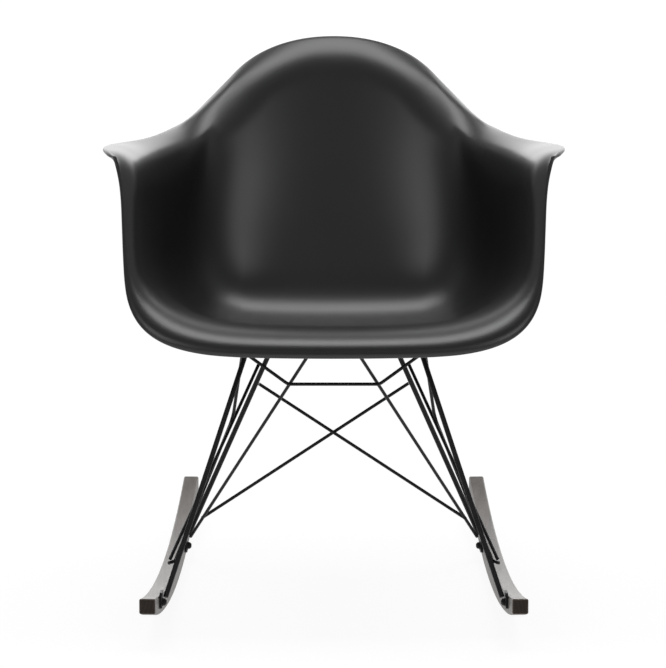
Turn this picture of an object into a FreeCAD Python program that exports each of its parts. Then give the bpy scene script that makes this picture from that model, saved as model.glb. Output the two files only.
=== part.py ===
import FreeCAD, Part
import math
import os

import Sketcher

Vector = FreeCAD.Vector
Rotation = FreeCAD.Rotation
Placement = FreeCAD.Placement

doc = FreeCAD.newDocument("rocking_chair")
sheet = doc.addObject("Spreadsheet::Sheet", "Dims")

# Driving dimensions in millimetres and degrees.
# X is across the chair, -Y is the side a sitter faces, Z is up from the floor.
DIMENSIONS = [
    # Wooden runners
    ("runner_length", 780.0),
    ("runner_width", 21.5),
    ("runner_bottom_radius", 1740.0),
    ("runner_top_radius", 1957.0),
    ("runner_mid_height", 28.7),
    ("runner_tip_start", 300.0),
    ("runner_tip_radius", 800.0),
    ("runner_edge_round", 2.5),
    ("runner_inner_offset", 218.1),
    ("runner_toe_in", 2.76),
    # Feet of the wire base
    ("foot_plate_thick", 3.2),
    ("foot_plate_length", 26.0),
    ("foot_plate_round", 5.0),
    ("front_foot_y", -309.0),
    ("front_bolt_z", 44.6),
    ("front_plate_low_z", 37.3),
    ("front_plate_high_z", 59.2),
    ("rear_foot_y", 130.0),
    ("rear_bolt_z", 22.0),
    ("rear_plate_low_z", 13.5),
    ("rear_plate_high_z", 50.0),
    ("foot_bolt_hole_radius", 3.2),
    ("foot_bolt_radius", 3.0),
    ("foot_bolt_head_radius", 4.9),
    ("foot_bolt_head_height", 4.6),
    ("foot_bolt_length", 17.0),
    ("foot_washer_radius", 6.0),
    ("foot_washer_thick", 1.0),
    ("insert_radius", 4.6),
    ("insert_length", 13.0),
    # Rods
    ("thick_rod_radius", 3.5),
    ("thin_rod_radius", 2.3),
    ("front_leg_low_x", 225.9),
    ("front_leg_low_y", -305.0),
    ("front_leg_low_z", 50.4),
    ("front_leg_high_x", 114.8),
    ("front_leg_high_y", -154.0),
    ("front_leg_high_z", 369.7),
    ("rear_leg_low_x", 206.4),
    ("rear_leg_low_y", 127.0),
    ("rear_leg_low_z", 40.0),
    ("rear_leg_high_x", 82.5),
    ("rear_leg_high_y", -4.0),
    ("rear_leg_high_z", 342.6),
    ("side_brace_high_x", 104.7),
    ("side_brace_high_y", 11.0),
    ("side_brace_high_z", 308.0),
    ("side_brace_low_x", 220.2),
    ("side_brace_low_y", -285.0),
    ("side_brace_low_z", 98.2),
    ("bent_brace_high_x", 124.2),
    ("bent_brace_high_y", -158.0),
    ("bent_brace_high_z", 356.4),
    ("bent_brace_knee_x", 139.2),
    ("bent_brace_knee_y", -70.0),
    ("bent_brace_knee_z", 248.9),
    ("bent_brace_low_x", 213.8),
    ("bent_brace_low_y", -279.0),
    ("bent_brace_low_z", 94.1),
    ("bent_brace_hook_x", 222.2),
    ("bent_brace_hook_y", -286.0),
    ("bent_brace_hook_z", 92.8),
    ("bent_brace_round", 14.0),
    ("arch_low_x", 203.9),
    ("arch_low_y", 117.0),
    ("arch_low_z", 37.9),
    ("arch_high_x", 31.2),
    ("arch_high_y", -187.0),
    ("arch_high_z", 363.7),
    ("arch_round", 14.0),
    ("cross_bar_end_x", 114.7),
    ("cross_bar_end_y", -157.0),
    ("cross_bar_end_z", 351.3),
    ("cross_bar_knee_x", 62.4),
    ("cross_bar_knee_y", -147.0),
    ("cross_bar_knee_z", 310.7),
    ("cross_bar_round", 12.0),
    ("cross_brace_high_x", 104.6),
    ("cross_brace_high_y", 27.0),
    ("cross_brace_high_z", 277.5),
    ("cross_brace_low_x", 186.9),
    ("cross_brace_low_y", 85.0),
    ("cross_brace_low_z", 71.7),
    # Seat mounts
    ("mount_tilt", 9.9),
    ("front_mount_x", 114.8),
    ("front_mount_y", -154.0),
    ("front_mount_z", 369.7),
    ("rear_mount_x", 82.5),
    ("rear_mount_y", -4.0),
    ("rear_mount_z", 342.6),
    ("mount_plate_side", 38.0),
    ("mount_plate_thick", 3.0),
    ("mount_plate_round", 8.0),
    ("shock_mount_radius", 17.0),
    ("shock_mount_waist", 15.0),
    ("shock_mount_height", 9.0),
    ("seat_screw_radius", 3.0),
    ("seat_screw_clearance", 0.3),
    ("seat_screw_head_radius", 5.5),
    ("seat_screw_head_height", 4.0),
    ("seat_washer_radius", 8.0),
    ("seat_washer_thick", 1.2),
    ("shell_insert_radius", 4.5),
    ("shell_insert_length", 5.0),
    # Moulded shell
    ("shell_thick", 5.5),
    ("boss_radius", 16.5),
]

for row, (name, value) in enumerate(DIMENSIONS, start=1):
    sheet.set("A%d" % row, name)
    sheet.set("B%d" % row, str(value))
    sheet.setAlias("B%d" % row, name)
doc.recompute()


def dim(name):
    return float(sheet.get(name))


def point(name, side=1):
    return Vector(side * dim(name + "_x"), dim(name + "_y"), dim(name + "_z"))


SIDES = (("left", -1), ("right", 1))

# Moulded shell, one station after another from the front lip up to the top of the back.
# A station is a U-shaped line across the bucket: half a superellipse for the floor and wall,
# then the outward fold of the free edge.
STATION_KEYS = (
    "centre_y", "centre_z", "edge_x", "edge_y", "edge_z",
    "wall_x", "wall_share", "roundness", "sweep", "fold",
)
STATIONS = [
    ("lip_edge", (-291.0, 373.2, 295.2, -128.0, 622.5, 284.5, 0.73, 4.45, 90.0, 0.5)),
    ("lip_face", (-288.0, 391.0, 301.0, -121.0, 623.8, 280.0, 0.72, 4.2, 90.0, 0.7)),
    ("lip_roll", (-273.0, 405.5, 307.5, -106.0, 625.9, 271.5, 0.71, 4.0, 90.0, 0.9)),
    ("seat_front", (-245.0, 412.5, 313.5, -82.0, 625.3, 266.5, 0.7, 3.8, 90.0, 1.0)),
    ("seat_fore", (-175.0, 399.0, 316.0, -52.0, 624.0, 263.0, 0.7, 3.5, 90.0, 1.0)),
    ("seat_middle", (-70.0, 371.0, 308.3, -15.0, 621.8, 257.0, 0.7, 3.3, 90.0, 1.0)),
    ("seat_rear", (50.0, 347.0, 294.4, 28.0, 618.4, 250.0, 0.71, 3.2, 90.0, 1.0)),
    ("seat_corner", (140.0, 343.0, 278.5, 70.0, 615.1, 239.0, 0.73, 3.1, 90.0, 1.0)),
    ("back_foot", (185.0, 392.0, 260.5, 118.0, 611.9, 226.0, 0.76, 2.9, 90.0, 0.9)),
    ("back_low", (210.0, 474.0, 246.1, 152.0, 612.2, 211.0, 0.79, 2.45, 88.0, 0.7)),
    ("back_middle", (240.0, 570.0, 235.5, 178.0, 613.3, 196.0, 0.84, 2.2, 80.0, 0.4)),
    ("back_high", (268.0, 650.0, 226.0, 203.0, 615.5, 186.5, 0.92, 2.1, 72.0, 0.15)),
    ("back_roll", (281.0, 694.0, 220.5, 216.0, 616.5, 181.0, 0.96, 2.05, 67.0, 0.0)),
    ("rim_roll", (296.0, 718.5, 216.5, 228.0, 616.0, 174.5, 0.99, 2.05, 62.5, 0.0)),
    ("rim_edge", (314.0, 730.5, 213.2, 240.0, 615.0, 171.8, 1.0, 2.1, 59.5, 0.0)),
]
WALL_STEPS = 8
FOLD_POLES = ((-0.04, 0.42), (0.06, 0.74), (0.32, 0.93), (0.66, 1.0), (1.0, 1.0))

for row, (name, values) in enumerate(STATIONS, start=len(DIMENSIONS) + 2):
    for column, (key, value) in enumerate(zip(STATION_KEYS, values)):
        cell = "%s%d" % ("BCDEFGHIJK"[column], row)
        sheet.set(cell, str(value))
        sheet.setAlias(cell, "%s_%s" % (name, key))
doc.recompute()


NODES = []


def label(obj, name):
    obj.Label = name
    NODES.append(obj)
    return obj


def solid_feature(name, shape):
    feature = doc.addObject("Part::Feature", name)
    feature.Shape = shape
    feature.Placement = Placement()
    return label(feature, name)


def new_body(name, placement):
    body = doc.addObject("PartDesign::Body", name)
    body.Placement = placement
    return label(body, name)


def new_sketch(body, plane, name, lift=0.0):
    sketch = body.newObject("Sketcher::SketchObject", name)
    origin_plane = [p for p in body.Origin.OriginFeatures if p.Role == plane][0]
    sketch.AttachmentSupport = [(origin_plane, "")]
    sketch.MapMode = "FlatFace"
    sketch.AttachmentOffset = Placement(Vector(0, 0, lift), Rotation())
    return sketch


def value_of(expression):
    """Present value of an expression of sheet names."""
    probe = sheet.evalExpression(expression)
    return float(getattr(probe, "Value", probe))


def pin(sketch, geometry, end, x_expression, y_expression):
    """Hold one point of a sketch at two expressions, either of which may be 0."""
    for kind, axis, expression in (("DistanceX", -2, x_expression), ("DistanceY", -1, y_expression)):
        if expression == "0":
            sketch.addConstraint(Sketcher.Constraint("PointOnObject", geometry, end, axis))
        else:
            held = Sketcher.Constraint(kind, -1, 1, geometry, end, value_of(expression))
            index = sketch.addConstraint(held)
            sketch.setExpression("Constraints[%d]" % index, expression)


def circle(sketch, x_expression, y_expression, radius_expression):
    centre = Vector(
        0 if x_expression == "0" else value_of(x_expression),
        0 if y_expression == "0" else value_of(y_expression),
        0,
    )
    radius = value_of(radius_expression)
    index = sketch.addGeometry(Part.Circle(centre, Vector(0, 0, 1), radius))
    if x_expression == "0" and y_expression == "0":
        sketch.addConstraint(Sketcher.Constraint("Coincident", index, 3, -1, 1))
    else:
        pin(sketch, index, 3, x_expression, y_expression)
    held = sketch.addConstraint(Sketcher.Constraint("Radius", index, radius))
    sketch.setExpression("Constraints[%d]" % held, radius_expression)
    return index


def polygon(sketch, corners):
    """Closed outline of straight lines with every corner pinned."""
    places = [
        Vector(0 if x == "0" else value_of(x), 0 if y == "0" else value_of(y), 0) for x, y in corners
    ]
    count = len(corners)
    for k in range(count):
        sketch.addGeometry(Part.LineSegment(places[k], places[(k + 1) % count]))
    for k in range(count):
        sketch.addConstraint(Sketcher.Constraint("Coincident", k, 2, (k + 1) % count, 1))
    for k, (x, y) in enumerate(corners):
        pin(sketch, k, 1, x, y)


def pad(body, sketch, length_expression, symmetric=False):
    feature = body.newObject("PartDesign::Pad", "Pad")
    feature.Profile = sketch
    if symmetric:
        feature.SideType = "Symmetric"
    feature.setExpression("Length", length_expression)
    sketch.Visibility = False
    return feature


def pocket(body, sketch, length_expression, reverse=False):
    feature = body.newObject("PartDesign::Pocket", "Pocket")
    feature.Profile = sketch
    feature.Reversed = reverse
    feature.setExpression("Length", length_expression)
    sketch.Visibility = False
    return feature


def round_edges(body, feature, keep, radius_expression):
    """Fillet those edges of a feature that the test keeps."""
    doc.recompute()
    names = [
        "Edge%d" % (k + 1) for k, edge in enumerate(feature.Shape.Edges) if keep(edge)
    ]
    fillet = body.newObject("PartDesign::Fillet", "Fillet")
    fillet.Base = (feature, names)
    fillet.setExpression("Radius", radius_expression)
    return fillet


def toe_turn(side):
    return Rotation(Vector(0, 0, 1), side * dim("runner_toe_in"))


def runner_side_x(y, outward):
    """Distance from the centre line to a place beside a runner's inner face, at depth y."""
    slope = math.tan(math.radians(dim("runner_toe_in")))
    return dim("runner_inner_offset") - slope * y + outward


def runner(name, side):
    """Rocker cut from one board: two large arcs, with a tighter upward arc under each tip."""
    middle = runner_side_x(0, dim("runner_width") / 2)
    body = new_body(name, Placement(Vector(side * middle, 0, 0), toe_turn(side)))
    sketch = new_sketch(body, "YZ_Plane", "Outline")
    bottom_radius = dim("runner_bottom_radius")
    top_radius = dim("runner_top_radius")
    tip_radius = dim("runner_tip_radius")
    half = dim("runner_length") / 2
    up = Vector(0, 0, 1)
    turn = math.asin(dim("runner_tip_start") / bottom_radius)
    centre = Vector(0, bottom_radius, 0)
    low = math.radians(-90)
    sketch.addGeometry(Part.ArcOfCircle(Part.Circle(centre, up, bottom_radius), low - turn, low + turn))
    for way in (1, -1):
        join = centre + Vector(way * math.sin(turn), -math.cos(turn), 0) * bottom_radius
        tip_centre = join + (centre - join) * (tip_radius / bottom_radius)
        reach = math.asin((half - abs(tip_centre.x)) / tip_radius)
        span = (low + turn, low + reach) if way > 0 else (low - reach, low - turn)
        sketch.addGeometry(Part.ArcOfCircle(Part.Circle(tip_centre, up, tip_radius), *span))
    top_centre = Vector(0, dim("runner_mid_height") + top_radius, 0)
    top_turn = math.asin(half / top_radius)
    sketch.addGeometry(
        Part.ArcOfCircle(Part.Circle(top_centre, up, top_radius), low - top_turn, low + top_turn)
    )
    rear_low = sketch.Geometry[1].EndPoint
    rear_high = sketch.Geometry[3].EndPoint
    front_low = sketch.Geometry[2].StartPoint
    front_high = sketch.Geometry[3].StartPoint
    sketch.addGeometry(Part.LineSegment(rear_low, rear_high))
    sketch.addGeometry(Part.LineSegment(front_high, front_low))
    joins = [
        ("Tangent", 0, 2, 1, 1), ("Tangent", 0, 1, 2, 2),
        ("Coincident", 1, 2, 4, 1), ("Coincident", 4, 2, 3, 2),
        ("Coincident", 3, 1, 5, 1), ("Coincident", 5, 2, 2, 1),
        ("Vertical", 4), ("Vertical", 5), ("Equal", 1, 2),
        ("PointOnObject", 0, 3, -2), ("PointOnObject", -1, 1, 0), ("PointOnObject", 3, 3, -2),
    ]
    for join in joins:
        sketch.addConstraint(Sketcher.Constraint(*join))
    for arc, alias in ((0, "runner_bottom_radius"), (1, "runner_tip_radius"), (3, "runner_top_radius")):
        index = sketch.addConstraint(Sketcher.Constraint("Radius", arc, dim(alias)))
        sketch.setExpression("Constraints[%d]" % index, "Dims." + alias)
    spans = [
        ("DistanceX", -1, 1, 0, 2, "Dims.runner_tip_start"),
        ("DistanceX", 0, 1, -1, 1, "Dims.runner_tip_start"),
        ("DistanceX", -1, 1, 4, 1, "Dims.runner_length / 2"),
        ("DistanceX", 5, 1, -1, 1, "Dims.runner_length / 2"),
        ("DistanceY", -1, 1, 3, 3, "Dims.runner_mid_height + Dims.runner_top_radius"),
    ]
    for kind, first, first_end, second, second_end, expression in spans:
        held = Sketcher.Constraint(kind, first, first_end, second, second_end, value_of(expression))
        index = sketch.addConstraint(held)
        sketch.setExpression("Constraints[%d]" % index, expression)
    board = pad(body, sketch, "Dims.runner_width", symmetric=True)
    round_edges(body, board, lambda edge: True, "Dims.runner_edge_round")
    for place in ("front", "rear"):
        seat = new_sketch(body, "YZ_Plane", place + "_insert_seat", -side * dim("runner_width") / 2)
        seat.setExpression("AttachmentOffset.Base.z", "%s Dims.runner_width / 2" % ("-" if side > 0 else ""))
        along = "Dims.%s_foot_y / cos(Dims.runner_toe_in)" % place
        circle(seat, along, "Dims.%s_bolt_z" % place, "Dims.insert_radius")
        pocket(body, seat, "Dims.insert_length", reverse=side > 0)
    return body


def foot_point(place, side, outward):
    """A place on the axis of a foot bolt, measured outward from the runner's inner face."""
    y = dim(place + "_foot_y")
    turn = math.radians(dim("runner_toe_in"))
    along = Vector(math.cos(turn), math.sin(turn), 0)
    base = Vector(runner_side_x(y, 0), y, dim(place + "_bolt_z")) + along * outward
    return Vector(side * base.x, base.y, base.z)


def foot_axis(side):
    """Unit vector from a foot bolt's head into the runner."""
    return toe_turn(side).multVec(Vector(side, 0, 0))


def foot_plate(name, place, side):
    """Steel tab on the runner's inner face that carries the ends of the rods."""
    centre = foot_point(place, side, -dim("foot_plate_thick") / 2)
    body = new_body(name, Placement(Vector(centre.x, centre.y, 0), toe_turn(side)))
    sketch = new_sketch(body, "YZ_Plane", "Outline")
    reach = "Dims.foot_plate_length / 2"
    low = "Dims.%s_plate_low_z" % place
    high = "Dims.%s_plate_high_z" % place
    polygon(sketch, [("-" + reach, low), (reach, low), (reach, high), ("-" + reach, high)])
    tab = pad(body, sketch, "Dims.foot_plate_thick", symmetric=True)
    thick = dim("foot_plate_thick")
    round_edges(body, tab, lambda edge: abs(edge.Length - thick) < 0.01, "Dims.foot_plate_round")
    hole = new_sketch(body, "YZ_Plane", "Bolt_hole", dim("foot_plate_thick"))
    hole.setExpression("AttachmentOffset.Base.z", "Dims.foot_plate_thick")
    circle(hole, "0", "Dims.%s_bolt_z" % place, "Dims.foot_bolt_hole_radius")
    pocket(body, hole, "2 * Dims.foot_plate_thick")
    return body


def rod(name, start, end, radius_alias, start_alias, end_alias):
    """Straight round rod between two named points."""
    cylinder = doc.addObject("Part::Cylinder", name)
    cylinder.setExpression("Radius", "Dims." + radius_alias)
    across = "+" if start.x * end.x < 0 else "-"
    terms = [
        "(Dims.%s_%s %s Dims.%s_%s)^2" % (end_alias, axis, across if axis == "x" else "-", start_alias, axis)
        for axis in "xyz"
    ]
    cylinder.setExpression("Height", "sqrt(" + " + ".join(terms) + ")")
    cylinder.Placement = Placement(start, Rotation(Vector(0, 0, 1), end - start))
    return label(cylinder, name)


def bent_bar(name, knee_alias, end_alias, bend_alias):
    """Rod bent twice in one plane: a level middle and two mirrored arms."""
    knee = point(knee_alias)
    end = point(end_alias)
    arm = Vector(0, end.y - knee.y, end.z - knee.z)
    frame = Rotation(Vector(1, 0, 0), arm, Vector(1, 0, 0).cross(arm), "XYZ")
    body = new_body(name, Placement(Vector(0, knee.y, knee.z), frame))
    path = new_sketch(body, "XY_Plane", "Path")
    names = {"knee": knee_alias, "end": end_alias}
    reach = "sqrt((Dims.{end}_y - Dims.{knee}_y)^2 + (Dims.{end}_z - Dims.{knee}_z)^2)".format(**names)
    corner = Vector(knee.x, 0, 0)
    tip = Vector(end.x, arm.Length, 0)
    away = (tip - corner).normalize()
    bend = dim(bend_alias)
    turn = math.acos(max(-1.0, min(1.0, away.x)))
    back = bend * math.tan(turn / 2)
    first_end = corner - Vector(back, 0, 0)
    second_start = corner + away * back
    centre = first_end + Vector(0, bend, 0)
    path.addGeometry(Part.LineSegment(Vector(0, 0, 0), first_end))
    low = math.radians(-90)
    path.addGeometry(Part.ArcOfCircle(Part.Circle(centre, Vector(0, 0, 1), bend), low, low + turn))
    path.addGeometry(Part.LineSegment(second_start, tip))
    path.addConstraint(Sketcher.Constraint("Coincident", 0, 1, -1, 1))
    path.addConstraint(Sketcher.Constraint("Horizontal", 0))
    path.addConstraint(Sketcher.Constraint("Tangent", 0, 2, 1, 1))
    path.addConstraint(Sketcher.Constraint("Tangent", 1, 2, 2, 1))
    index = path.addConstraint(Sketcher.Constraint("Radius", 1, bend))
    path.setExpression("Constraints[%d]" % index, "Dims." + bend_alias)
    pin(path, 2, 2, "Dims.%s_x" % end_alias, reach)
    mark = path.addGeometry(Part.Point(corner), True)
    pin(path, mark, 1, "Dims.%s_x" % knee_alias, "0")
    path.addConstraint(Sketcher.Constraint("PointOnObject", mark, 1, 2))
    section = new_sketch(body, "YZ_Plane", "Section")
    circle(section, "0", "0", "Dims.thin_rod_radius")
    doc.recompute()
    pipe = body.newObject("PartDesign::AdditivePipe", "Half")
    pipe.Profile = section
    pipe.Spine = (path, ["Edge1", "Edge2", "Edge3"])
    doc.recompute()
    mirrored = body.newObject("PartDesign::Mirrored", "Whole")
    mirror_plane = [p for p in body.Origin.OriginFeatures if p.Role == "YZ_Plane"][0]
    mirrored.Originals = [pipe]
    mirrored.MirrorPlane = (mirror_plane, [""])
    body.Tip = mirrored
    path.Visibility = False
    section.Visibility = False
    return body


def bent_side_brace(name, side):
    """Thin rod with a knee, laid along the side brace, and a short outward hook at its foot."""
    places = [point("bent_brace_" + part_name, side) for part_name in ("high", "knee", "low", "hook")]
    radius = dim("thin_rod_radius")
    wire = Part.makePolygon(places)
    bends = [dim("bent_brace_round"), dim("bent_brace_round") / 2]
    edges = []
    start = places[0]
    for k, bend in enumerate(bends, start=1):
        arrive = (places[k] - places[k - 1]).normalize()
        leave = (places[k + 1] - places[k]).normalize()
        turn = arrive.getAngle(leave)
        cut = bend * math.tan(turn / 2)
        first = places[k] - arrive * cut
        last = places[k] + leave * cut
        halfway = (leave - arrive).normalize()
        middle = places[k] + halfway * (bend / math.cos(turn / 2) - bend)
        edges.append(Part.LineSegment(start, first).toShape())
        edges.append(Part.Arc(first, middle, last).toShape())
        start = last
    edges.append(Part.LineSegment(start, places[-1]).toShape())
    ring = Part.Wire([Part.makeCircle(radius, places[0], places[1] - places[0])])
    shape = Part.Wire(edges).makePipeShell([ring], True, False)
    return solid_feature(name, shape)


def mount_tilt_turn():
    return Rotation(Vector(1, 0, 0), -dim("mount_tilt"))


def mount_normal():
    return mount_tilt_turn().multVec(Vector(0, 0, 1))


def mount_point(place, side, height=0.0):
    return point(place + "_mount", side) + mount_normal() * height


MOUNTS = [(place, side) for place in ("front", "rear") for name, side in SIDES]


def mount_plate(name, place, side):
    """Rounded steel plate on the head of a leg."""
    body = new_body(name, Placement(mount_point(place, side), mount_tilt_turn()))
    sketch = new_sketch(body, "XY_Plane", "Outline")
    half = "Dims.mount_plate_side / 2"
    polygon(sketch, [("-" + half, "-" + half), (half, "-" + half), (half, half), ("-" + half, half)])
    plate = pad(body, sketch, "Dims.mount_plate_thick")
    thick = dim("mount_plate_thick")
    round_edges(body, plate, lambda edge: abs(edge.Length - thick) < 0.01, "Dims.mount_plate_round")
    hole = new_sketch(body, "XY_Plane", "Screw_hole", thick)
    hole.setExpression("AttachmentOffset.Base.z", "Dims.mount_plate_thick")
    circle(hole, "0", "0", "Dims.seat_screw_radius + Dims.seat_screw_clearance")
    pocket(body, hole, "Dims.mount_plate_thick")
    return body


def turned(outline, base, axis):
    """Solid of revolution: the outline runs out from the axis as (radius, height) corners."""
    corners = [Vector(r, 0, z) for r, z in outline]
    wire = Part.makePolygon(corners + corners[:1])
    solid = Part.Face(wire).revolve(Vector(0, 0, 0), Vector(0, 0, 1), 360)
    solid.Placement = Placement(base, Rotation(Vector(0, 0, 1), axis))
    return solid


def ring(outer, inner, thick, base, axis):
    disc = Part.makeCylinder(outer, thick, base, axis)
    return disc.cut(Part.makeCylinder(inner, thick, base, axis))


def domed_bolt(base, axis, radius, length, head_radius, head_height):
    """Low-headed bolt: the seat of its head at base, its shank along axis."""
    crown = head_height * 0.5
    return turned([
        (0, -head_height), (head_radius - crown, -head_height), (head_radius, crown - head_height),
        (head_radius, 0), (radius, 0), (radius, length), (0, length),
    ], base, axis)


def shock_mounts():
    """Waisted rubber discs between the mount plates and the shell's bosses."""
    bore = dim("seat_screw_radius") + dim("seat_screw_clearance")
    rim = dim("shock_mount_radius")
    waist = dim("shock_mount_waist")
    high = dim("shock_mount_height")
    outline = [
        (bore, 0), (rim, 0), (rim, high / 5), (waist, high / 3),
        (waist, high * 2 / 3), (rim, high * 4 / 5), (rim, high), (bore, high),
    ]
    discs = [
        turned(outline, mount_point(place, side, dim("mount_plate_thick")), mount_normal())
        for place, side in MOUNTS
    ]
    solid_feature("shock_mounts", Part.Compound(discs))


def foot_fasteners():
    """Bolts, washers and threaded inserts that hold the four foot plates to the runners."""
    bolts = []
    washers = []
    inserts = []
    for place in ("front", "rear"):
        for name, side in SIDES:
            axis = foot_axis(side)
            plate_face = foot_point(place, side, -dim("foot_plate_thick"))
            washer_face = plate_face - axis * dim("foot_washer_thick")
            bolts.append(domed_bolt(
                washer_face, axis, dim("foot_bolt_radius"), dim("foot_bolt_length"),
                dim("foot_bolt_head_radius"), dim("foot_bolt_head_height"),
            ))
            washers.append(ring(
                dim("foot_washer_radius"), dim("foot_bolt_hole_radius"),
                dim("foot_washer_thick"), washer_face, axis,
            ))
            inserts.append(ring(
                dim("insert_radius"), dim("foot_bolt_radius"), dim("insert_length"),
                foot_point(place, side, 0), axis,
            ))
    solid_feature("foot_bolts", Part.Compound(bolts))
    solid_feature("foot_washers", Part.Compound(washers))
    solid_feature("runner_inserts", Part.Compound(inserts))


def seat_fasteners():
    """Screws and washers under the mount plates, and the inserts moulded into the shell's bosses."""
    screws = []
    washers = []
    inserts = []
    axis = mount_normal()
    stack = dim("mount_plate_thick") + dim("shock_mount_height")
    length = dim("seat_washer_thick") + stack + dim("shell_insert_length")
    for place, side in MOUNTS:
        washer_face = mount_point(place, side, -dim("seat_washer_thick"))
        screws.append(domed_bolt(
            washer_face, axis, dim("seat_screw_radius"), length,
            dim("seat_screw_head_radius"), dim("seat_screw_head_height"),
        ))
        washers.append(ring(
            dim("seat_washer_radius"), dim("seat_screw_radius") + dim("seat_screw_clearance"),
            dim("seat_washer_thick"), washer_face, axis,
        ))
        inserts.append(ring(
            dim("shell_insert_radius"), dim("seat_screw_radius"), dim("shell_insert_length"),
            mount_point(place, side, stack), axis,
        ))
    solid_feature("seat_screws", Part.Compound(screws))
    solid_feature("seat_screw_washers", Part.Compound(washers))
    solid_feature("shell_inserts", Part.Compound(inserts))


def station_points(name):
    """Half of one station, from the centre line out to the free edge."""
    cy, cz, ex, ey, ez, wall, share, roundness, sweep, fold = [
        dim("%s_%s" % (name, key)) for key in STATION_KEYS
    ]
    centre = Vector(0, cy, cz)
    up = Vector(0, ey - cy, ez - cz)
    points = [centre]
    for k in range(1, WALL_STEPS + 1):
        angle = math.radians(sweep) * k / WALL_STEPS
        reach = math.sin(angle) ** (2.0 / roundness)
        rise = share * (1.0 - math.cos(angle) ** (2.0 / roundness))
        points.append(centre + up * rise + Vector(wall * reach, 0, 0))
    for step, (folded_out, folded_rise) in enumerate(FOLD_POLES, start=1):
        even = step / len(FOLD_POLES)
        out = fold * folded_out + (1.0 - fold) * even
        climb = fold * folded_rise + (1.0 - fold) * even
        height = rise + (1.0 - rise) * climb
        points.append(centre + up * height + Vector(wall * reach + (ex - wall * reach) * out, 0, 0))
    return points


def shell_net():
    rows = []
    for name, values in STATIONS:
        half = station_points(name)
        left = [Vector(-p.x, p.y, p.z) for p in reversed(half[1:])]
        rows.append(left + half)
    return rows


def even_knots(count, degree):
    """Clamped knot row with even steps, for a given number of poles."""
    spans = count - degree
    return [degree + 1] + [1] * (spans - 1) + [degree + 1], [float(k) for k in range(spans + 1)]


ROW_CUTS = (0, 3, 6, 9, 12)
COLUMN_CUTS = (0, 4, 8, 16, 20, 24)


def net_surface(net, row_degree):
    surface = Part.BSplineSurface()
    row_mults, row_knots = even_knots(len(net), row_degree)
    mults, knots = even_knots(len(net[0]), 3)
    surface.buildFromPolesMultsKnots(net, row_mults, mults, row_knots, knots, False, False, row_degree, 3)
    return surface


def patches(surface, row_cuts, column_cuts):
    """Faces of a surface, split along some of its knots."""
    faces = []
    for low, high in zip(row_cuts, row_cuts[1:]):
        for start, end in zip(column_cuts, column_cuts[1:]):
            piece = surface.copy()
            piece.segment(low, high, start, end)
            faces.append(piece.toShape())
    return faces


def net_normals(net):
    """Upward normals of the net, pointing to the inside of the bucket."""
    last_row = len(net) - 1
    last_col = len(net[0]) - 1
    normals = []
    for i in range(last_row + 1):
        line = []
        for j in range(last_col + 1):
            along = net[min(i + 1, last_row)][j] - net[max(i - 1, 0)][j]
            across = net[i][min(j + 1, last_col)] - net[i][max(j - 1, 0)]
            line.append(across.cross(along).normalize())
        normals.append(line)
    return normals


def rim_bands(upper, lower, outward, cuts):
    """Eased free edge between the two skins, as three narrow bands."""
    proud = [top + out * (top - low).Length * 0.3 for top, low, out in zip(upper, lower, outward)]
    rows = [
        upper,
        [p + (low - top) * 0.25 for p, top, low in zip(proud, upper, lower)],
        [p + (low - top) * 0.75 for p, top, low in zip(proud, upper, lower)],
        lower,
    ]
    faces = []
    for first, second in zip(rows, rows[1:]):
        faces += patches(net_surface([first, second], 1), (0, 1), cuts)
    return faces


def shell_skin():
    """Closed skin of the bucket: inner face, outer face and the eased edge all round."""
    thick = dim("shell_thick")
    inner = shell_net()
    normals = net_normals(inner)
    last_row = len(inner) - 1
    last_col = len(inner[0]) - 1
    outer = [[p - n * thick for p, n in zip(*lines)] for lines in zip(inner, normals)]

    def outward(i, j):
        total = Vector(0, 0, 0)
        if i == 0:
            total += (inner[0][j] - inner[1][j]).normalize()
        if i == last_row:
            total += (inner[last_row][j] - inner[last_row - 1][j]).normalize()
        if j == 0:
            total += (inner[i][0] - inner[i][1]).normalize()
        if j == last_col:
            total += (inner[i][last_col] - inner[i][last_col - 1]).normalize()
        n = normals[i][j]
        return (total - n * total.dot(n)).normalize()

    borders = [[(i, j) for j in range(last_col + 1)] for i in (0, last_row)]
    borders += [[(i, j) for i in range(last_row + 1)] for j in (0, last_col)]
    inner_surface = net_surface(inner, 3)
    faces = patches(inner_surface, ROW_CUTS, COLUMN_CUTS)
    faces += patches(net_surface(outer, 3), ROW_CUTS, COLUMN_CUTS)
    for border, cuts in zip(borders, (COLUMN_CUTS, COLUMN_CUTS, ROW_CUTS, ROW_CUTS)):
        faces += rim_bands(
            [inner[i][j] for i, j in border],
            [outer[i][j] for i, j in border],
            [outward(i, j) for i, j in border],
            cuts,
        )
    skin = Part.Shell(faces)
    skin.sewShape()
    solid = Part.Solid(Part.Shell(skin.Faces))
    if solid.Volume < 0:
        solid.reverse()
    return solid, inner_surface.toShape()


def seat_shell():
    """Bucket with four moulded bosses under the seat, each bored for its insert."""
    solid, inner_face = shell_skin()
    normal = mount_normal()
    start = dim("mount_plate_thick") + dim("shock_mount_height")
    for place, side in MOUNTS:
        base = mount_point(place, side, start)
        probe = Part.LineSegment(base, base + normal * 120).toShape()
        hit = inner_face.distToShape(probe)[1][0][0]
        height = (hit - base).dot(normal) - dim("shell_thick") / 2
        solid = solid.fuse(Part.makeCylinder(dim("boss_radius"), height, base, normal))
    for place, side in MOUNTS:
        base = mount_point(place, side, start)
        bore = Part.makeCylinder(dim("shell_insert_radius"), dim("shell_insert_length"), base, normal)
        solid = solid.cut(bore)
    return solid_feature("seat_shell", solid.Solids[0])


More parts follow.
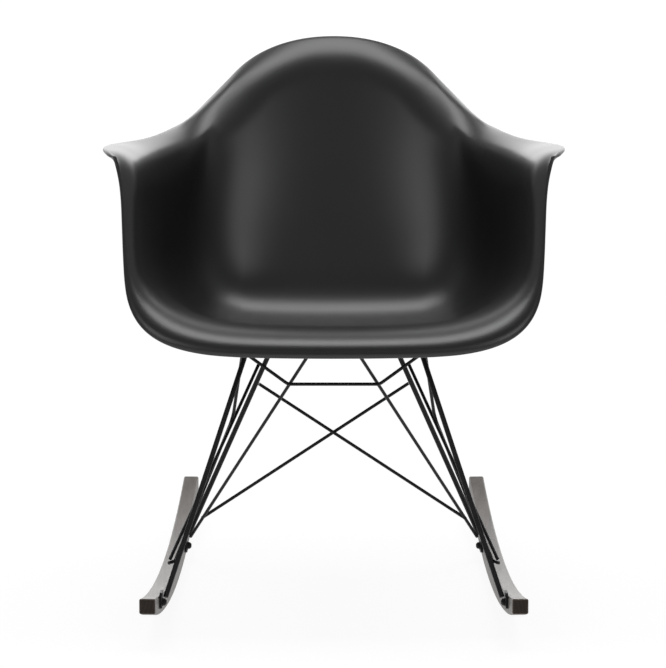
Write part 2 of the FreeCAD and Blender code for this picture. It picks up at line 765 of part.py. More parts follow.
seat_shell()
for side_name, side in SIDES:
    runner(side_name + "_runner", side)
    for place in ("front", "rear"):
        foot_plate("%s_%s_foot_plate" % (place, side_name), place, side)
        leg = place + "_leg"
        rod(
            "%s_%s_leg" % (place, side_name), point(leg + "_low", side), point(leg + "_high", side),
            "thick_rod_radius", leg + "_low", leg + "_high",
        )
        mount_plate("%s_%s_mount_plate" % (place, side_name), place, side)
    rod(
        side_name + "_side_brace", point("side_brace_low", side), point("side_brace_high", side),
        "thin_rod_radius", "side_brace_low", "side_brace_high",
    )
    bent_side_brace(side_name + "_bent_side_brace", side)
bent_bar("front_cross_bar", "cross_bar_knee", "cross_bar_end", "cross_bar_round")
bent_bar("arch_brace", "arch_high", "arch_low", "arch_round")
for side_name, side in SIDES:
    set_back = Vector(0, side * dim("thin_rod_radius"), 0)
    rod(
        side_name + "_cross_brace",
        point("cross_brace_high", side) + set_back, point("cross_brace_low", -side) + set_back,
        "thin_rod_radius", "cross_brace_high", "cross_brace_low",
    )
foot_fasteners()
shock_mounts()
seat_fasteners()

doc.recompute()
for obj in doc.Objects:
    if "Invalid" in obj.State or "Error" in obj.State:
        raise RuntimeError("%s is not built: %s" % (obj.Label, obj.State))
for node in NODES:
    if node.Shape.isNull() or not node.Shape.isValid():
        raise RuntimeError(node.Label + " has no valid shape")

os.makedirs("parts", exist_ok=True)
for node in NODES:
    node.Shape.exportStep("parts/%s.step" % node.Label)
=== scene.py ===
"""Looks of a moulded plastic rocking chair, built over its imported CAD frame."""

import math

import bpy
import numpy as np
from bpy.props import FloatProperty, FloatVectorProperty, IntProperty, PointerProperty
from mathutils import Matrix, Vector


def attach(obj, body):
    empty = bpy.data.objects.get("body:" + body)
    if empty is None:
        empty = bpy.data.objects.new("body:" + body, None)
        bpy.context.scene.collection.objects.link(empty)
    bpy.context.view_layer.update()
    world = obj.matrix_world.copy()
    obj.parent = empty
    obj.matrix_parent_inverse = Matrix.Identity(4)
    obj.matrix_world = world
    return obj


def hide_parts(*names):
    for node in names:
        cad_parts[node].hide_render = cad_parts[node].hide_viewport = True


bl_info = {
    "name": "Rocking Chair",
    "version": (1, 0, 0),
    "blender": (4, 5, 0),
    "location": "3D View > Sidebar > Chair",
    "description": "Builds the looks of a moulded rocking chair over its CAD frame",
    "category": "Object",
}

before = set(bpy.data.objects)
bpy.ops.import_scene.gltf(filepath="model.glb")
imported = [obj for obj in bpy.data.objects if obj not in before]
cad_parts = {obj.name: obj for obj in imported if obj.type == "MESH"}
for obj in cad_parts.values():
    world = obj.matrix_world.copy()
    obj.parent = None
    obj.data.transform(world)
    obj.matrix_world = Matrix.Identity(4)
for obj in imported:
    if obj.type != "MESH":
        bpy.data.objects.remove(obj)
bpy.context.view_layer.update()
MM = 0.001
BODY = "root"

# Stations of the moulded shell, in millimetres and degrees, from the front lip to the top of the back:
# middle y and z; free edge x, y and z; wall x; share of the height that the wall climbs; roundness
# across; sweep of the wall; fold of the arm, from 0 for none to 1; roundness of the climb.
STATIONS = (
    (-291.0, 373.4, 295.2, -128.0, 621.0, 284.5, 0.7, 4.33, 90.0, 0.55, 4.33),
    (-293.5, 383.0, 302.0, -121.0, 623.2, 280.5, 0.69, 4.17, 90.0, 0.75, 4.17),
    (-279.0, 396.5, 308.0, -106.0, 625.6, 271.0, 0.68, 3.98, 90.0, 0.95, 3.98),
    (-236.0, 405.0, 313.2, -82.0, 625.5, 264.5, 0.67, 3.74, 90.0, 1.0, 3.74),
    (-170.0, 397.0, 315.65, -52.0, 624.3, 260.0, 0.67, 3.57, 90.0, 1.0, 3.57),
    (-70.0, 371.0, 308.1, -15.0, 622.0, 254.0, 0.67, 3.5, 90.0, 1.0, 3.4),
    (50.0, 348.2, 294.4, 28.0, 618.0, 243.0, 0.67, 4.0, 90.0, 0.88, 3.1),
    (140.0, 343.0, 277.5, 70.0, 614.3, 228.0, 0.68, 4.4, 90.0, 0.72, 2.8),
    (185.0, 392.0, 259.5, 118.0, 611.0, 212.0, 0.7, 3.5, 90.0, 0.6, 2.5),
    (210.0, 474.0, 245.5, 152.0, 611.9, 197.0, 0.73, 2.45, 88.0, 0.5, 2.35),
    (240.0, 570.0, 235.0, 178.0, 613.3, 184.0, 0.78, 2.2, 80.0, 0.35, 2.2),
    (267.0, 648.0, 226.0, 203.0, 615.5, 180.0, 0.9, 2.1, 72.0, 0.15, 2.1),
    (281.0, 692.0, 220.5, 216.0, 616.5, 180.0, 0.96, 2.05, 67.0, 0.0, 2.05),
    (297.0, 717.0, 216.5, 228.0, 616.0, 174.5, 0.99, 2.05, 62.5, 0.0, 2.05),
    (316.0, 730.2, 213.2, 240.0, 615.0, 171.8, 1.0, 2.1, 59.5, 0.0, 2.1),
)

# Poles from the middle line up the wall, then those of the folded arm beyond it: share of the way
# out, then share of the way up.
WALL_STEPS = 8
FOLD_POLES = ((-0.06, 0.36), (0.04, 0.66), (0.26, 0.87), (0.6, 0.985), (1.0, 1.0))

# The rolled band of the back: its slope grows to the sides over ROLL_ASIDE, metres in x, and from
# the arms over ROLL_RISES, metres in y. It builds up over ROLL_EASE of the band, which is wider by
# ROLL_WIDER_ASIDE at the sides, and carries the wall along ROLL_WAY. The free edge belongs to the
# back from ROLL_FIRST_ROW of the mesh rows on. GAP_BATCH places are measured at a time.
ROLL_ASIDE = (0.02, 0.15)
ROLL_RISES = (0.10, 0.24)
ROLL_EASE = 0.85
ROLL_WIDER_ASIDE = 0.25
ROLL_WAY = (0.0, 1.0, -0.14)
ROLL_FIRST_ROW = 0.6
GAP_BATCH = 4000

# Where the arms run up into the back: limits in metres of y, y and x between which the rows are
# evened out, the share of each pass and the passes.
SHOULDER_STARTS = (0.04, 0.12)
SHOULDER_ENDS = (0.25, 0.30)
SHOULDER_ASIDE = (0.13, 0.19)
SHOULDER_SHARE = 0.45
SHOULDER_PASSES = 60

# Bosses under the seat, in millimetres: place of the mount plate's lower face, then height.
BOSSES = ((114.8, -154.0, 369.7, 10.0), (82.5, -4.0, 342.6, 3.0))
BOSS_RADIUS = 16.5
# Mount plate and shock mount together, and the lean of all four mounts in degrees.
MOUNT_STACK = 12.0
MOUNT_TILT = 9.9

# Steps round the free edge, and how far the floor reaches from the middle in metres.
RIM_STEPS = 7
FLOOR_REACH = 30.0

# Name, place, aim, size and watts of each lamp; places and sizes in metres.
LAMPS = (
    ("overhead", (0.0, 0.55, 2.9), (0.0, 0.45, 0.4), (3.2, 1.3), 70),
    ("left_softbox", (-1.36, -2.55, 1.72), (0.0, 0.1, 0.5), (0.9, 1.2), 13.5),
    ("right_softbox", (1.36, -2.55, 1.72), (0.0, 0.1, 0.5), (0.9, 1.2), 13.5),
)

# Lens in millimetres, place and reach in metres, and degrees that the camera looks down.
CAMERA_LENS = 275.92
CAMERA_PLACE = (-0.0011, -7.0, 1.65245)
CAMERA_REACH = 200.0
CAMERA_PITCH = 10.5166


class ChairSizes(bpy.types.PropertyGroup):
    """Sizes of the pieces that are made here."""

    shell_thickness: FloatProperty(
        name="Shell thickness", description="Wall of the moulded shell", default=0.0055, unit="LENGTH"
    )
    rim_proud: FloatProperty(
        name="Rim roll", description="How far the eased rim stands out", default=0.00165, unit="LENGTH"
    )
    roll_width: FloatProperty(
        name="Roll width", description="Band along the top that rolls backwards",
        default=0.060, unit="LENGTH",
    )
    roll_middle: FloatProperty(
        name="Roll at the middle", description="Backward slope at the top of the rim", default=0.20
    )
    roll_side: FloatProperty(
        name="Roll at the sides", description="Backward slope at the sides of the rim", default=0.60
    )
    rows: IntProperty(name="Rows", description="Mesh rows from lip to back", default=150)
    columns: IntProperty(name="Columns", description="Mesh columns from arm to arm", default=260)


class ChairColours(bpy.types.PropertyGroup):
    """Colours of the finishes."""

    plastic: FloatVectorProperty(
        name="Plastic", description="Moulded shell", default=(0.010, 0.010, 0.0105), subtype="COLOR"
    )
    coating: FloatVectorProperty(
        name="Coating", description="Powder coat on the rods and plates",
        default=(0.010, 0.010, 0.011), subtype="COLOR",
    )
    stain: FloatVectorProperty(
        name="Stain", description="Stained wood between the grain lines", default=(0.060, 0.043, 0.033),
        subtype="COLOR",
    )
    grain: FloatVectorProperty(
        name="Grain", description="Grain lines of the stained wood", default=(0.022, 0.014, 0.010),
        subtype="COLOR",
    )
    end_grain: FloatVectorProperty(
        name="End grain", description="Sawn ends of the runners", default=(0.020, 0.012, 0.009),
        subtype="COLOR",
    )
    end_rings: FloatVectorProperty(
        name="End rings", description="Rings on the sawn ends", default=(0.009, 0.006, 0.005),
        subtype="COLOR",
    )
    rubber: FloatVectorProperty(
        name="Rubber", description="Shock mounts", default=(0.015, 0.015, 0.015), subtype="COLOR"
    )
    oxide: FloatVectorProperty(
        name="Black oxide", description="Bolts and washers at the runners",
        default=(0.012, 0.012, 0.013), subtype="COLOR",
    )
    zinc: FloatVectorProperty(
        name="Zinc", description="Screws and washers under the seat", default=(0.55, 0.55, 0.56),
        subtype="COLOR",
    )
    brass: FloatVectorProperty(
        name="Brass", description="Threaded inserts", default=(0.6, 0.43, 0.18), subtype="COLOR"
    )
    backdrop: FloatVectorProperty(
        name="Backdrop", description="Floor and background", default=(0.92, 0.92, 0.92), subtype="COLOR"
    )


def sizes():
    """The sizes that the sidebar shows."""
    return bpy.context.scene.chair_sizes


def colours():
    """The colours that the sidebar shows."""
    return bpy.context.scene.chair_colours


class Wire:
    """One shader socket, so that node maths reads as ordinary arithmetic."""

    def __init__(self, tree, socket=None):
        self.tree = tree
        self.socket = socket

    def node(self, kind, settings=None, inputs=None, output=0):
        """Any node: its settings first, then values or wires for its sockets; gives one output."""
        made = self.tree.nodes.new(kind)
        for key, value in (settings or {}).items():
            setattr(made, key, value)
        for key, value in (inputs or {}).items():
            if isinstance(value, Wire):
                self.tree.links.new(value.socket, made.inputs[key])
            elif isinstance(value, (tuple, list)) and made.inputs[key].type == "RGBA":
                made.inputs[key].default_value = tuple(value)[:3] + (1.0,)
            else:
                made.inputs[key].default_value = value
        return Wire(self.tree, made.outputs[output]) if made.outputs else made

    def math(self, operation, *values):
        """A Math node on wires and numbers."""
        return self.node("ShaderNodeMath", {"operation": operation}, dict(enumerate(values)))

    def _join(self, operation, *sides):
        """Vector maths where either side is a vector, plain maths otherwise."""
        if "VECTOR" in (side.socket.type for side in sides if isinstance(side, Wire)):
            spread = [side if isinstance(side, (Wire, tuple)) else (side,) * 3 for side in sides]
            return self.node(
                "ShaderNodeVectorMath", {"operation": operation}, dict(enumerate(spread)),
            )
        return self.math(operation, *sides)

    def __add__(self, other):
        return self._join("ADD", self, other)

    def __radd__(self, other):
        return self._join("ADD", other, self)

    def __sub__(self, other):
        return self._join("SUBTRACT", self, other)

    def __rsub__(self, other):
        return self._join("SUBTRACT", other, self)

    def __mul__(self, other):
        return self._join("MULTIPLY", self, other)

    def __rmul__(self, other):
        return self._join("MULTIPLY", other, self)

    def __abs__(self):
        return self.math("ABSOLUTE", self)

    def part(self, axis):
        """One coordinate of a vector: 0, 1 or 2."""
        return self.node("ShaderNodeSeparateXYZ", inputs={0: self}, output=axis)

    def ramp(self, low, high):
        """0 below low and 1 above high, with an eased step between."""
        return self.node(
            "ShaderNodeMapRange", {"interpolation_type": "SMOOTHSTEP"},
            {"Value": self, "From Min": low, "From Max": high},
        )

    def mix(self, first, second):
        """Colour between first and second, with this wire as the share."""
        return self.node(
            "ShaderNodeMix", {"data_type": "RGBA"},
            {"Factor": self, 6: first, 7: second}, output=2,
        )

    def noise(self, scale, detail=2.0, roughness=0.5):
        """Noise over this wire's coordinates."""
        return self.node(
            "ShaderNodeTexNoise", inputs={
                "Vector": self, "Scale": scale, "Detail": detail, "Roughness": roughness,
            },
        )

    def bump(self, distance, strength=1.0, under=None):
        """Bump normal from this wire's height, with distance in metres."""
        inputs = {"Height": self, "Distance": distance, "Strength": strength}
        if under:
            inputs["Normal"] = under
        return self.node("ShaderNodeBump", inputs=inputs)


def new_material(name):
    """An empty node material, a wire to build from and the place of each surface point."""
    material = bpy.data.materials.new(name)
    material.use_nodes = True
    material.node_tree.nodes.clear()
    start = Wire(material.node_tree)
    place = start.node("ShaderNodeTexCoord", output="Object")
    return material, start, place


def finish_surface(material, start, inputs):
    """Principled shader to the output; inputs are plain values or wires."""
    shader = start.node("ShaderNodeBsdfPrincipled", inputs=inputs)
    start.node("ShaderNodeOutputMaterial", inputs={"Surface": shader})
    return material


def moulded_plastic():
    """Satin black polypropylene: fine moulded texture, faint flow marks and rubbed high spots."""
    material, start, place = new_material("moulded_plastic")
    flow = place.noise(7.0, 3.0)
    fine = place.noise(1500.0, 2.0, 0.6)
    scuffs = place.noise(160.0, 4.0, 0.7).ramp(0.62, 0.75)
    waves = place.noise(11.0, 1.0).bump(0.0006, 0.25)
    tone = flow * 0.5 + scuffs * 0.15
    black = tuple(colours().plastic)
    lighter = tuple(c * 1.5 for c in black)
    return finish_surface(material, start, {
        "Base Color": tone.mix(black, lighter),
        "Roughness": 0.31 + flow * 0.05 + fine * 0.03 - scuffs * 0.04,
        "Normal": fine.bump(0.00003, 0.35, waves),
        "IOR": 1.5,
    })


def powder_coat(name, colour, roughness):
    """Black coat on steel, with its fine orange-peel skin."""
    material, start, place = new_material(name)
    peel = place.noise(900.0, 2.0, 0.4)
    cloud = place.noise(25.0, 2.0)
    return finish_surface(material, start, {
        "Base Color": cloud.mix(tuple(colour), tuple(c * 1.6 for c in colour)),
        "Roughness": roughness + peel * 0.08,
        "Normal": peel.bump(0.00006, 0.5),
        "IOR": 1.35,
        "Specular IOR Level": 0.25,
    })


def stained_wood():
    """Dark stained, lacquered wood: long grain on the sides and top, rings on the sawn ends."""
    material, start, place = new_material("stained_wood")
    bands = (place * (22.0, 0.9, 22.0)).noise(1.0, 3.0, 0.6)
    lines = (place * (90.0, 3.2, 90.0)).noise(1.0, 4.0, 0.65)
    pores = (place * (900.0, 28.0, 900.0)).noise(1.0, 2.0, 0.6).ramp(0.56, 0.68)
    rings = start.node(
        "ShaderNodeTexWave", {"wave_type": "RINGS", "rings_direction": "Y"},
        {"Vector": place, "Scale": 60.0, "Distortion": 3.0, "Detail": 2.0, "Detail Scale": 1.5},
        output="Fac",
    )
    facing = start.node("ShaderNodeNewGeometry", output="Normal").part(1)
    sawn = abs(facing).ramp(0.85, 0.97)
    share = (bands * 0.55 + lines * 0.75 - 0.15).ramp(0.3, 0.75)
    side_grain = share.mix(tuple(colours().stain), tuple(colours().grain))
    side_grain = (pores * 0.55).mix(side_grain, tuple(c * 0.5 for c in colours().grain))
    end_grain = rings.mix(tuple(colours().end_grain), tuple(colours().end_rings))
    return finish_surface(material, start, {
        "Base Color": sawn.mix(side_grain, end_grain),
        "Roughness": 0.36 + lines * 0.10 + sawn * 0.25,
        "Normal": (lines * 0.6 - pores).bump(0.00012, 0.5),
        "IOR": 1.4,
        "Specular Tint": (1.0, 0.94, 0.87),
    })


def moulded_rubber():
    """Matte black rubber with a faint bloom."""
    material, start, place = new_material("moulded_rubber")
    bloom = place.noise(70.0, 3.0)
    skin = place.noise(1200.0, 2.0)
    black = tuple(colours().rubber)
    return finish_surface(material, start, {
        "Base Color": bloom.mix(black, tuple(c * 2.2 for c in black)),
        "Roughness": 0.66 + bloom * 0.14,
        "Normal": skin.bump(0.00005, 0.4),
    })


def plated_metal(name, colour, roughness):
    """Plated or plain metal with turning marks and light tarnish."""
    material, start, place = new_material(name)
    marks = (place * (60.0, 60.0, 2400.0)).noise(1.0, 2.0)
    tarnish = place.noise(240.0, 3.0)
    return finish_surface(material, start, {
        "Base Color": tarnish.mix(tuple(colour), tuple(c * 0.72 for c in colour)),
        "Metallic": 1.0,
        "Roughness": roughness + tarnish * 0.15,
        "Normal": marks.bump(0.00003, 0.4),
    })


def climb(values, limits):
    """0 up to the lower limit, 1 from the upper, and straight between."""
    low, high = limits
    return np.clip((values - low) / (high - low), 0.0, 1.0)


def eased(values, limits):
    """0 up to the lower limit, 1 from the upper, and eased between."""
    share = climb(values, limits)
    return share * share * (3.0 - 2.0 * share)


def bspline_weights(count, samples, degree=3):
    """Weights of count poles on a clamped spline with even knots, at evenly spaced places."""
    spans = count - degree
    knots = np.concatenate([np.zeros(degree), np.arange(spans + 1), np.full(degree, spans)]).astype(float)
    places = np.linspace(0.0, spans, samples)
    weights = np.zeros((samples, count + degree))
    span = np.minimum(places.astype(int), spans - 1) + degree
    weights[np.arange(samples), span] = 1.0
    for d in range(1, degree + 1):
        raised = np.zeros_like(weights)
        for k in range(count + degree - d):
            for start, end, sign in ((k, k + d, 1), (k + 1, k + 1 + d, -1)):
                width = knots[end] - knots[start]
                if width > 0:
                    way = places - knots[start] if sign > 0 else knots[end] - places
                    raised[:, k] += way / width * weights[:, start]
        weights = raised
    return weights[:, :count]


def station_poles(station):
    """Half a station's poles, from the middle line out to the free edge."""
    cy, cz, ex, ey, ez, wall, share, roundness, sweep, fold, upright = station
    centre = np.array((0.0, cy, cz))
    up = np.array((0.0, ey - cy, ez - cz))
    side = np.array((1.0, 0.0, 0.0))
    poles = [centre]
    reach = rise = 0.0
    for k in range(1, WALL_STEPS + 1):
        angle = math.radians(sweep) * k / WALL_STEPS
        reach = math.sin(angle) ** (2.0 / roundness)
        rise = share * (1.0 - max(math.cos(angle), 0.0) ** (2.0 / upright))
        poles.append(centre + up * rise + side * wall * reach)
    for step, (folded_out, folded_rise) in enumerate(FOLD_POLES, start=1):
        even = step / len(FOLD_POLES)
        out = fold * folded_out + (1.0 - fold) * even
        lift = fold * folded_rise + (1.0 - fold) * even
        height = rise + (1.0 - rise) * lift
        poles.append(centre + up * height + side * (wall * reach + (ex - wall * reach) * out))
    return poles


def shell_poles():
    """Poles of the whole bucket: a row for each station, from arm to arm, in metres."""
    rows = []
    for station in STATIONS:
        half = station_poles(station)
        mirrored = [p * (-1.0, 1.0, 1.0) for p in reversed(half[1:])]
        rows.append(mirrored + half)
    return np.array(rows) * MM


def unit(vectors):
    """Each vector at a length of 1."""
    return vectors / np.maximum(np.linalg.norm(vectors, axis=-1, keepdims=True), 1e-12)


def pole_normals(poles):
    """Unit normals of the net, towards the sitter."""
    padded = np.pad(poles, ((1, 1), (1, 1), (0, 0)), mode="edge")
    across = padded[1:-1, 2:] - padded[1:-1, :-2]
    along = padded[2:, 1:-1] - padded[:-2, 1:-1]
    return unit(np.cross(across, along))


def border_places(rows, columns):
    """Grid places round the free edge, once, in order."""
    places = [(0, j) for j in range(columns - 1)]
    places += [(i, columns - 1) for i in range(rows - 1)]
    places += [(rows - 1, j) for j in range(columns - 1, 0, -1)]
    places += [(i, 0) for i in range(rows - 1, 0, -1)]
    return places


def mesh_object(name, vertices, faces, material, replaced):
    """A smooth piece that rides on the chair and stands in for the CAD nodes it replaces."""
    mesh = bpy.data.meshes.new(name)
    mesh.from_pydata([tuple(v) for v in vertices], [], faces)
    mesh.validate()
    for polygon in mesh.polygons:
        polygon.use_smooth = True
    made = bpy.data.objects.new(name, mesh)
    bpy.context.scene.collection.objects.link(made)
    made.data.materials.append(material)
    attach(made, BODY)
    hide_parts(*replaced)


def rim_gap(inner):
    """How far each place of the inner skin is from the back's free edge, seen from the front."""
    first = int(sizes().rows * ROLL_FIRST_ROW)
    rim = np.concatenate([inner[-1], inner[first:, 0], inner[first:, -1]])
    flat = inner.reshape(-1, 3)
    gap = np.full(len(flat), 1.0)
    for start in range(0, len(flat), GAP_BATCH):
        steps = flat[start:start + GAP_BATCH, None, ::2] - rim[None, :, ::2]
        gap[start:start + GAP_BATCH] = np.sqrt((steps ** 2).sum(2).min(1))
    return gap.reshape(inner.shape[:2])


def rolled_back(inner):
    """Shift that rolls the top of the back and the shoulders backwards."""
    aside = eased(np.abs(inner[..., 0]), ROLL_ASIDE)
    band = sizes().roll_width * (1.0 + ROLL_WIDER_ASIDE * aside)
    near = np.clip(1.0 - rim_gap(inner) / band, 0.0, 1.0)
    turn = np.minimum(near / ROLL_EASE, 1.0)
    carried = ROLL_EASE * (turn ** 3 - turn ** 4 / 2) + np.maximum(near - ROLL_EASE, 0.0)
    slope = sizes().roll_middle + (sizes().roll_side - sizes().roll_middle) * aside
    back = carried * band * slope * eased(inner[..., 1], ROLL_RISES)
    return back[..., None] * np.array(ROLL_WAY)


def eased_shoulders(inner):
    """Shift that evens out the rows where the arms run up into the back."""
    smooth = inner.copy()
    place = climb(inner[..., 1], SHOULDER_STARTS) * (1.0 - climb(inner[..., 1], SHOULDER_ENDS))
    share = place * climb(np.abs(inner[..., 0]), SHOULDER_ASIDE) * SHOULDER_SHARE
    for _ in range(SHOULDER_PASSES):
        level = (smooth[:-2] + smooth[2:]) / 2
        smooth[1:-1] += (level - smooth[1:-1]) * share[1:-1, :, None]
    return smooth - inner


def skins():
    """Grids of the inner and the outer skin, both with the rolled back."""
    poles = shell_poles()
    row_weights = bspline_weights(len(poles), sizes().rows)
    column_weights = bspline_weights(len(poles[0]), sizes().columns)

    def surface(net):
        return np.einsum("ia,jb,abk->ijk", row_weights, column_weights, net)

    inner = surface(poles)
    outer = surface(poles - pole_normals(poles) * sizes().shell_thickness)
    shift = rolled_back(inner)
    shift += eased_shoulders(inner + shift)
    return inner + shift, outer + shift


def rim_rings(inner, outer, places):
    """Rings of the rounded free edge, from the inner skin to the outer, without the two skins' own."""
    rows, columns = inner.shape[:2]
    rim_in = np.array([inner[p] for p in places])
    rim_out = np.array([outer[p] for p in places])
    tangent = unit(np.roll(rim_in, -2, 0) - np.roll(rim_in, 2, 0))
    outward = unit(np.cross(tangent, unit(rim_in - rim_out)))
    inward = np.array([
        inner[min(max(i, 1), rows - 2)][min(max(j, 1), columns - 2)] for i, j in places
    ]) - rim_in
    outward *= -np.sign((outward * inward).sum(1, keepdims=True))
    middle = (rim_in + rim_out) / 2
    half = (rim_in - rim_out) / 2
    for step in range(1, RIM_STEPS):
        angle = math.pi * step / RIM_STEPS
        yield middle + half * math.cos(angle) + outward * sizes().rim_proud * math.sin(angle)


def shell_mesh():
    """Both skins of the bucket and the rounded rim between them, as one closed mesh."""
    inner, outer = skins()
    rows, columns = inner.shape[:2]
    vertices = list(inner.reshape(-1, 3)) + list(outer.reshape(-1, 3))
    count = rows * columns
    faces = []
    for i in range(rows - 1):
        for j in range(columns - 1):
            a, b = i * columns + j, i * columns + j + 1
            faces.append((a, b, b + columns, a + columns))
            faces.append((count + a + columns, count + b + columns, count + b, count + a))
    places = border_places(rows, columns)
    loops = [[i * columns + j for i, j in places]]
    for ring in rim_rings(inner, outer, places):
        loops.append(list(range(len(vertices), len(vertices) + len(places))))
        vertices += list(ring)
    loops.append([count + i * columns + j for i, j in places])
    for first, second in zip(loops, loops[1:]):
        for k in range(len(places)):
            n = (k + 1) % len(places)
            faces.append((first[n], first[k], second[k], second[n]))
    return vertices, faces


def turned(profile, base, axis, turns=48):
    """Closed turned form: profile is (radius, height) corners along the axis from the base."""
    vertices, faces = [], []
    turn = Vector((0, 0, 1)).rotation_difference(axis).to_matrix()
    for radius, height in profile:
        for k in range(turns):
            angle = 2 * math.pi * k / turns
            local = Vector((radius * math.cos(angle), radius * math.sin(angle), height))
            vertices.append(tuple(turn @ local + base))
    for ring in range(len(profile) - 1):
        for k in range(turns):
            n = (k + 1) % turns
            low = ring * turns
            faces.append((low + k, low + n, low + turns + n, low + turns + k))
    faces.append(tuple(reversed(range(turns))))
    faces.append(tuple(len(vertices) - turns + k for k in range(turns)))
    return vertices, faces


def bosses():
    """The four moulded bosses under the seat, each on its shock mount and grown into the wall."""
    tilt = math.radians(MOUNT_TILT)
    axis = Vector((0.0, math.sin(tilt), math.cos(tilt)))
    for x, y, z, height in BOSSES:
        eased_foot = ((BOSS_RADIUS - 0.7, 0.0), (BOSS_RADIUS - 0.2, 0.2), (BOSS_RADIUS, 0.7))
        flared_head = (
            (BOSS_RADIUS, height * 0.6), (BOSS_RADIUS + 1.0, height * 0.85), (BOSS_RADIUS + 1.5, height),
        )
        profile = [(radius * MM, rise * MM) for radius, rise in eased_foot + flared_head]
        for side in (-1, 1):
            base = Vector((side * x, y, z)) + axis * MOUNT_STACK
            yield turned(profile, base * MM, axis)


def paint(material, *names):
    """Gives CAD nodes their finish."""
    for name in names:
        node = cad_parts[name]
        node.data.materials.clear()
        node.data.materials.append(material)
        for polygon in node.data.polygons:
            polygon.material_index = 0


def area_light(name, place, target, size, power):
    """Rectangular lamp at a place, turned to its target."""
    data = bpy.data.lights.new(name, "AREA")
    data.shape = "RECTANGLE"
    data.size, data.size_y = size
    data.energy = power
    lamp = bpy.data.objects.new(name, data)
    lamp.location = place
    lamp.rotation_euler = (Vector(target) - Vector(place)).to_track_quat("-Z", "Y").to_euler()
    bpy.context.scene.collection.objects.link(lamp)


def pale_floor():
    """White floor that keeps the shadows and shows white to the camera and in reflections."""
    material, start, place = new_material("pale_floor")
    pale = tuple(colours().backdrop)
    tone = place.noise(3.0, 2.0).mix(pale, tuple(c * 0.97 for c in pale))
    matte = start.node("ShaderNodeBsdfDiffuse", inputs={"Color": tone})
    seen = start.node("ShaderNodeLightPath", output="Is Camera Ray")
    mirrored = start.node("ShaderNodeLightPath", output="Is Glossy Ray")
    level = place.part(1).ramp(0.3, 6.0) * 0.1 + 1.02 + mirrored * 0.15
    glow = start.node("ShaderNodeEmission", inputs={"Color": level, "Strength": 1.0})
    shown = start.math("MAXIMUM", seen, mirrored)
    surface = start.node("ShaderNodeMixShader", inputs={0: shown * 0.9, 1: matte, 2: glow})
    start.node("ShaderNodeOutputMaterial", inputs={"Surface": surface})
    return material


def studio_world(scene):
    """White to the camera; as light a bright low backdrop behind, dim sides and a dark front."""
    world = bpy.data.worlds.new("studio")
    scene.world = world
    world.use_nodes = True
    world.node_tree.nodes.clear()
    start = Wire(world.node_tree)
    way = start.node("ShaderNodeTexCoord", output="Generated")
    aside, back, up = abs(way.part(0)), way.part(1), way.part(2)
    backdrop = back.ramp(0.3, 0.8) * (1.0 - up.ramp(0.35, 0.7)) * (1.0 - aside.ramp(0.35, 0.75))
    sides = aside.ramp(0.6, 0.95) * up.ramp(0.0, 0.3)
    light = 0.06 + backdrop * 2.8 + sides * 0.4 + up.ramp(0.0, 1.0) * 0.10
    seen = start.node("ShaderNodeLightPath", output="Is Camera Ray")
    level = seen * (1.0 - light) + light
    background = start.node("ShaderNodeBackground", inputs={"Color": level, "Strength": 1.0})
    start.node("ShaderNodeOutputWorld", inputs={"Surface": background})


class CHAIR_OT_shell(bpy.types.Operator):
    """Builds the moulded bucket shell"""

    bl_idname = "chair.shell"
    bl_label = "Shell"

    def execute(self, context):
        vertices, faces = shell_mesh()
        for boss_vertices, boss_faces in bosses():
            first = len(vertices)
            vertices += boss_vertices
            faces += [tuple(first + corner for corner in face) for face in boss_faces]
        mesh_object("bucket_shell", vertices, faces, moulded_plastic(), ["seat_shell"])
        return {"FINISHED"}


class CHAIR_OT_rods(bpy.types.Operator):
    """Gives the rods and plates their powder coat"""

    bl_idname = "chair.rods"
    bl_label = "Rods and plates"

    def execute(self, context):
        steel = [
            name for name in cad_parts
            if name.endswith(("_leg", "_brace", "_plate", "_bar"))
        ]
        paint(powder_coat("powder_coat", colours().coating, 0.38), *steel)
        return {"FINISHED"}


class CHAIR_OT_runners(bpy.types.Operator):
    """Gives the wooden runners their stain and grain"""

    bl_idname = "chair.runners"
    bl_label = "Runners"

    def execute(self, context):
        paint(stained_wood(), "left_runner", "right_runner")
        return {"FINISHED"}


class CHAIR_OT_fixings(bpy.types.Operator):
    """Gives the shock mounts, bolts, screws, washers and inserts their finishes"""

    bl_idname = "chair.fixings"
    bl_label = "Fixings"

    def execute(self, context):
        paint(moulded_rubber(), "shock_mounts")
        paint(powder_coat("black_oxide", colours().oxide, 0.33), "foot_bolts", "foot_washers")
        paint(plated_metal("zinc_plate", colours().zinc, 0.3), "seat_screws", "seat_screw_washers")
        paint(plated_metal("brass", colours().brass, 0.35), "runner_inserts", "shell_inserts")
        return {"FINISHED"}


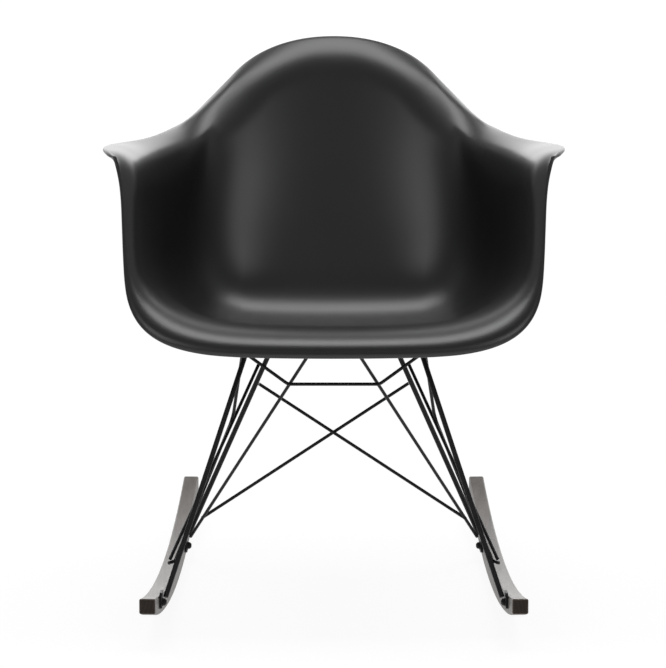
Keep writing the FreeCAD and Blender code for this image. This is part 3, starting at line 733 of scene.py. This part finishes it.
class CHAIR_OT_stage(bpy.types.Operator):
    """Builds the floor, the lights and the camera"""

    bl_idname = "chair.stage"
    bl_label = "Stage"

    def execute(self, context):
        scene = context.scene
        corners = [
            (x * FLOOR_REACH, y * FLOOR_REACH, 0.0) for x, y in ((-1, -1), (1, -1), (1, 1), (-1, 1))
        ]
        floor_mesh = bpy.data.meshes.new("floor")
        floor_mesh.from_pydata(corners, [], [(0, 1, 2, 3)])
        floor = bpy.data.objects.new("floor", floor_mesh)
        floor.data.materials.append(pale_floor())
        scene.collection.objects.link(floor)
        studio_world(scene)
        for name, place, target, size, power in LAMPS:
            area_light(name, place, target, size, power)
        camera = bpy.data.cameras.new("camera")
        camera.lens = CAMERA_LENS
        camera.clip_end = CAMERA_REACH
        eye = bpy.data.objects.new("camera", camera)
        eye.location = CAMERA_PLACE
        eye.rotation_euler = (math.radians(90 - CAMERA_PITCH), 0, 0)
        scene.collection.objects.link(eye)
        scene.camera = eye
        scene.view_settings.view_transform = "Standard"
        return {"FINISHED"}


class CHAIR_PT_panel(bpy.types.Panel):
    """Sizes, colours and the build steps"""

    bl_label = "Rocking chair"
    bl_space_type = "VIEW_3D"
    bl_region_type = "UI"
    bl_category = "Chair"

    def draw(self, context):
        for group in (context.scene.chair_sizes, context.scene.chair_colours):
            for key in group.__annotations__:
                self.layout.prop(group, key)
        for step in STEPS:
            self.layout.operator(step.bl_idname)


STEPS = (CHAIR_OT_shell, CHAIR_OT_rods, CHAIR_OT_runners, CHAIR_OT_fixings, CHAIR_OT_stage)
CLASSES = (ChairSizes, ChairColours) + STEPS + (CHAIR_PT_panel,)


def register():
    for cls in CLASSES:
        bpy.utils.register_class(cls)
    bpy.types.Scene.chair_sizes = PointerProperty(type=ChairSizes)
    bpy.types.Scene.chair_colours = PointerProperty(type=ChairColours)


def unregister():
    del bpy.types.Scene.chair_colours
    del bpy.types.Scene.chair_sizes
    for cls in reversed(CLASSES):
        bpy.utils.unregister_class(cls)


def main():
    register()
    bpy.ops.chair.shell()
    bpy.ops.chair.rods()
    bpy.ops.chair.runners()
    bpy.ops.chair.fixings()
    bpy.ops.chair.stage()


if __name__ == "__main__":
    main()
